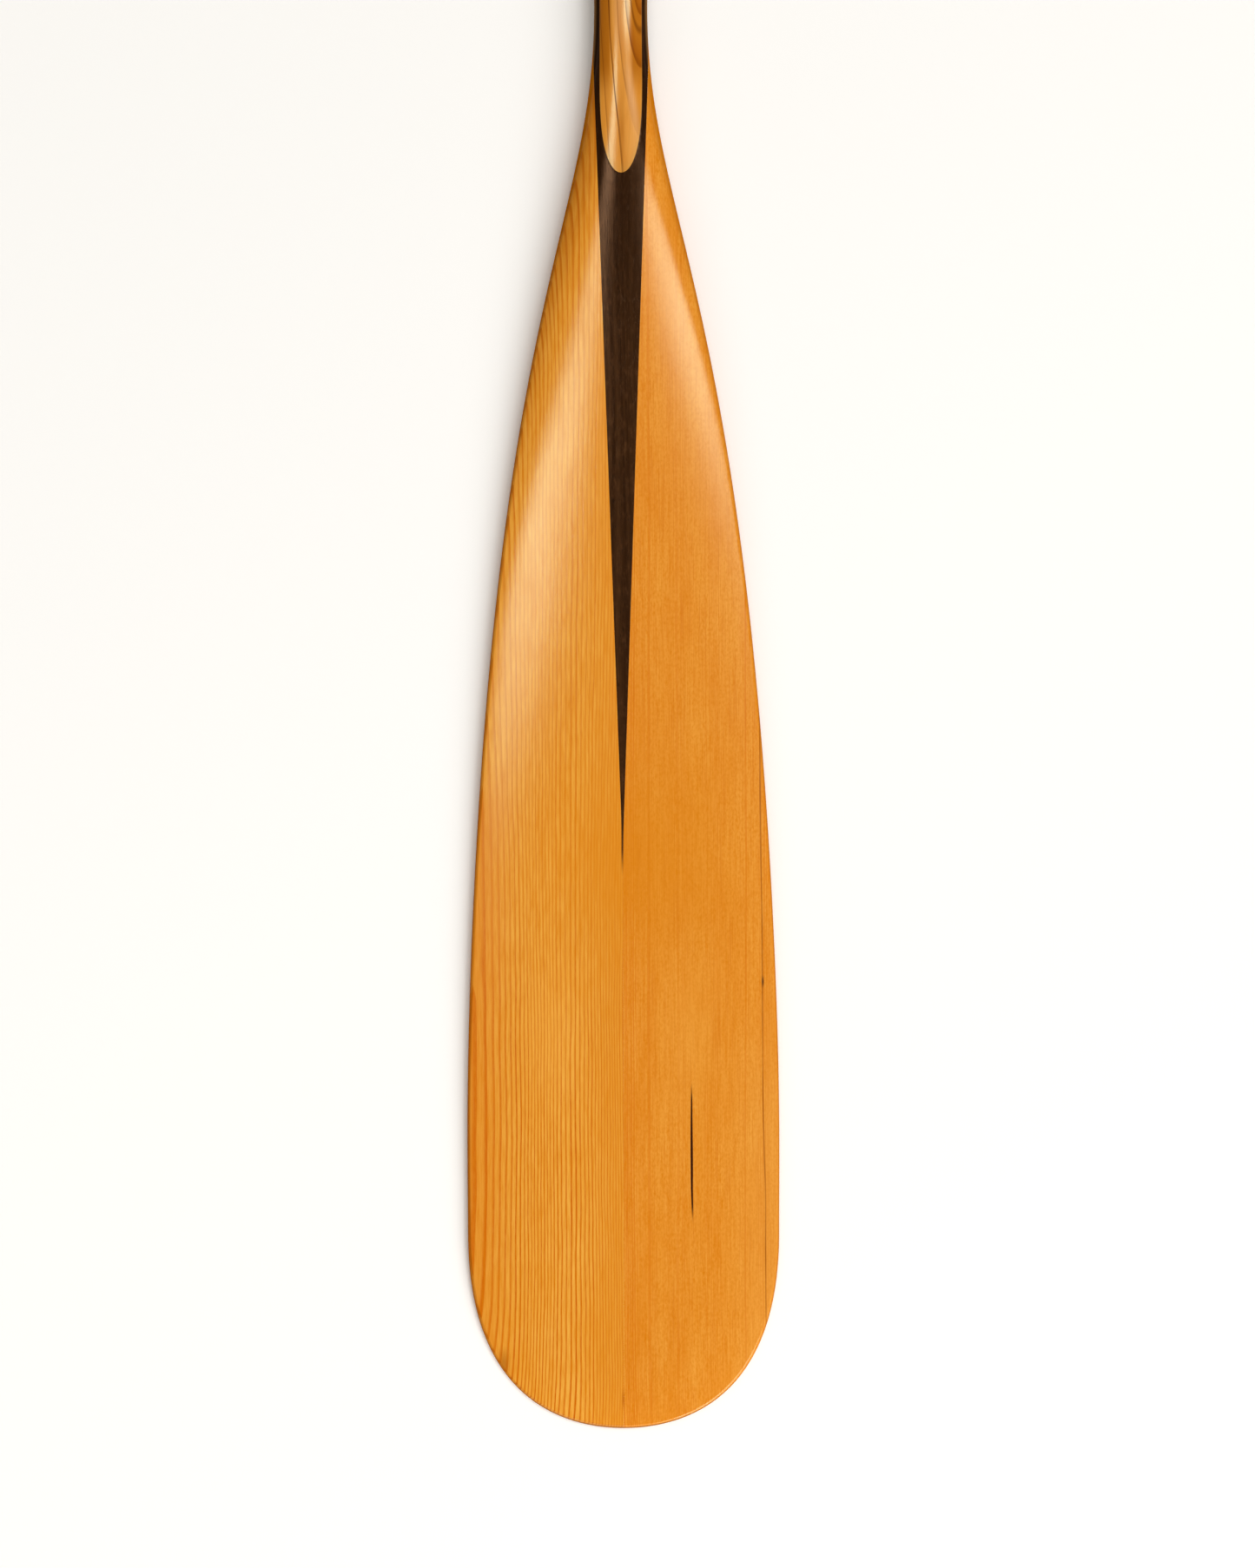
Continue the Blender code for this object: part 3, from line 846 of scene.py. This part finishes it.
def figured_wood(name, heart):
    """The shaft's face boards and the grip's cheeks: golden brown, with rings that run out as long arches.

    heart is how far right of the long axis the arches have their middle."""
    tint = CHERRY
    wood = Wood(name)
    shade, line = arches(wood, heart_distance(wood, heart))
    fibre = wood.noise((0.4, 16, 0.5), detail=2)
    streaks = wood.noise((1.3, 45, 3), detail=2) * 0.5 + 0.5
    warmth = wood.noise((5, 30, 5), detail=2) * 0.5 + 0.5
    thin = (wood.deep.size() - CORE_THICKNESS * MM / 2).rise(0, 0.35).inverse()
    color = wood.mix(warmth, tint["light"], tint["deeper"])
    color = wood.mix(golden_parts(wood) * 0.85, color, tint["golden"])
    # Painted sheen on the tongue and the middle of the shaft above it
    color = wood.mix(painted_sheen_parts(wood) * 0.65, color, tint["cream"])
    color = wood.mix(shade, color, tint["shade"])
    color = wood.mix(streaks * 0.22, color, tint["streak"])
    color = wood.mix(line, color, tint["line"])
    color = wood.mix(thin * 0.35, color, tint["thin"])
    color = wood.mix(fibre * 0.10 + 0.05, color, tint["fibre"])
    color = wood.mix(wood.end_grain() * 0.7, color, tint["end grain"])
    relief = fibre * 0.003 - line * 0.002
    return wood.finish(color, relief, warmth * 0.03 + OIL_ROUGHNESS, line * -0.4 + 0.5)


# The studio

LIGHT_DISTANCE = 20
WINDOW_DISTANCE = 5
LAMP_COLOR = (1, 0.99, 0.98)
ROOM_COLOR = (1, 0.90, 0.70)
ROOM_LEVEL = 0.11
FLOOR_WHITE = (1, 1, 0.99)
FLOOR_LIFT = (1, 0.93, 0.82)
FLOOR_LIFT_LEVEL = 0.09
FLOOR_BOUNCE = (0.86, 0.85, 0.83)
FLOOR_REACH = 25
FLOOR_CLEARANCE = 0.00005
FLOOR_TOUCH_BELOW_SHAFT = 0.1
CAMERA_SEES_TO = 100


def soft_light(name, level, width, height, off_vertical, bearing, turn=0, distance=LIGHT_DISTANCE):
    """An oval soft light, aimed at the middle of the photograph's frame. All angles are in degrees.

    level is how brightly it lights the floor there, where 1 shows white as white. width and height are
    the angles that it fills. bearing is from +X towards +Y, and turn is its own turn about its middle."""
    tilt, heading, spin = radians(off_vertical), radians(bearing), radians(turn)
    away = Vector((sin(tilt) * cos(heading), sin(tilt) * sin(heading), cos(tilt)))
    across = (Vector((1, 0, 0)) - away * away.x).normalized()
    across = Matrix.Rotation(spin, 3, away) @ across
    lamp = bpy.data.lights.new(name, "AREA")
    lamp.shape = "ELLIPSE"
    lamp.size = 2 * distance * tan(radians(width / 2))
    lamp.size_y = 2 * distance * tan(radians(height / 2))
    area = pi / 4 * lamp.size * lamp.size_y
    radiance = level * pi * distance**2 / (area * away.z)
    lamp.energy = radiance * area * pi
    lamp.color = LAMP_COLOR
    obj = bpy.data.objects.new(name, lamp)
    bpy.context.scene.collection.objects.link(obj)
    middle = Vector((0, TIP_Y + PHOTO_CENTRE_AT, MIDDLE_Z))
    turned = Matrix((across, away.cross(across), away)).transposed()
    obj.matrix_world = Matrix.Translation(middle + away * distance) @ turned.to_4x4()
    obj.visible_camera = False


def lights():
    """The lights that the photograph's sheens and shadows tell of. Their levels add up to about 1."""
    soft_light(
        "left_strip", level=0.0315, width=9.4, height=2.7, off_vertical=10.3, bearing=160.6, turn=-8
    )
    soft_light("right_strip", level=0.230, width=25.5, height=11, off_vertical=20.9, bearing=35.6, turn=11)
    soft_light("far_fill", level=0.085, width=30, height=26, off_vertical=27.3, bearing=94)
    soft_light("near_fill", level=0.235, width=75, height=28, off_vertical=61, bearing=-88)
    soft_light(
        "window", level=0.375, width=36, height=48, off_vertical=56, bearing=-57, distance=WINDOW_DISTANCE
    )
    world = bpy.data.worlds.new("room")
    world.use_nodes = True
    background = world.node_tree.nodes["Background"]
    background.inputs["Color"].default_value = (*ROOM_COLOR, 1)
    background.inputs["Strength"].default_value = ROOM_LEVEL
    bpy.context.scene.world = world


def floor_material():
    """A pale floor. Seen directly it is white, and the light that it sends back is a little darker."""
    material = bpy.data.materials.new("floor_white")
    material.use_nodes = True
    tree = material.node_tree
    tree.nodes.remove(tree.nodes["Principled BSDF"])
    path = tree.nodes.new("ShaderNodeLightPath")
    seen = Field(tree, path.outputs["Is Camera Ray"])
    for name in ("Is Glossy Ray", "Is Transmission Ray"):
        seen = seen.calc("MAXIMUM", Field(tree, path.outputs[name]))
    bounce = tree.nodes.new("ShaderNodeBsdfDiffuse")
    bounce.inputs["Color"].default_value = (*FLOOR_BOUNCE, 1)
    white = tree.nodes.new("ShaderNodeBsdfDiffuse")
    white.inputs["Color"].default_value = (*FLOOR_WHITE, 1)
    lift = tree.nodes.new("ShaderNodeEmission")
    lift.inputs["Color"].default_value = (*FLOOR_LIFT, 1)
    lift.inputs["Strength"].default_value = FLOOR_LIFT_LEVEL
    both = tree.nodes.new("ShaderNodeAddShader")
    choice = tree.nodes.new("ShaderNodeMixShader")
    tree.links.new(white.outputs[0], both.inputs[0])
    tree.links.new(lift.outputs[0], both.inputs[1])
    tree.links.new(seen.socket, choice.inputs[0])
    tree.links.new(bounce.outputs[0], choice.inputs[1])
    tree.links.new(both.outputs[0], choice.inputs[2])
    tree.links.new(choice.outputs[0], tree.nodes["Material Output"].inputs["Surface"])
    return material


def floor(form):
    """The floor that the paddle lies on. The back touches it near the blade's tip and at the throat."""
    points = np.array([vertex.co for vertex in form.data.vertices])
    throat_y = TIP_Y + BLADE_LENGTH
    blade = points[points[:, 1] < throat_y - FLOOR_TOUCH_BELOW_SHAFT]
    slope = float(np.min((blade[:, 2] - cad_low.z) / (throat_y - blade[:, 1])))
    mesh = bmesh.new()
    corners = ((-1, -1), (1, -1), (1, 1), (-1, 1))
    mesh.faces.new([mesh.verts.new((x * FLOOR_REACH, y * FLOOR_REACH, 0)) for x, y in corners])
    obj = new_object("floor", mesh)
    obj.location = (0, throat_y, cad_low.z - FLOOR_CLEARANCE)
    obj.rotation_euler = (-atan(slope), 0, 0)
    obj.data.materials.append(floor_material())


def camera():
    """Straight above the blade, with the photograph's frame and its slight roll."""
    data = bpy.data.cameras.new("camera")
    data.sensor_width = SENSOR
    data.lens = SENSOR * CAMERA_HEIGHT / PHOTO_HEIGHT
    data.clip_end = CAMERA_SEES_TO
    obj = bpy.data.objects.new("camera", data)
    bpy.context.scene.collection.objects.link(obj)
    obj.location = (PHOTO_CENTRE_X, TIP_Y + PHOTO_CENTRE_AT, MIDDLE_Z + CAMERA_HEIGHT)
    obj.rotation_euler = (0, 0, PHOTO_ROLL)
    bpy.context.scene.camera = obj


def main():
    """Builds the boards, the floor, the lights and the camera."""
    bpy.context.scene.view_settings.view_transform = "Standard"
    form = carved_form()
    core_board(form, walnut())
    face_boards(form, figured_wood("cherry_face", heart=10))
    blade_boards(form, {"left": open_cedar(), "right": fine_cedar()})
    grip_cheeks(form, figured_wood("cherry_cheek", heart=4))
    floor(form)
    bpy.data.objects.remove(form, do_unlink=True)
    lights()
    camera()


main()
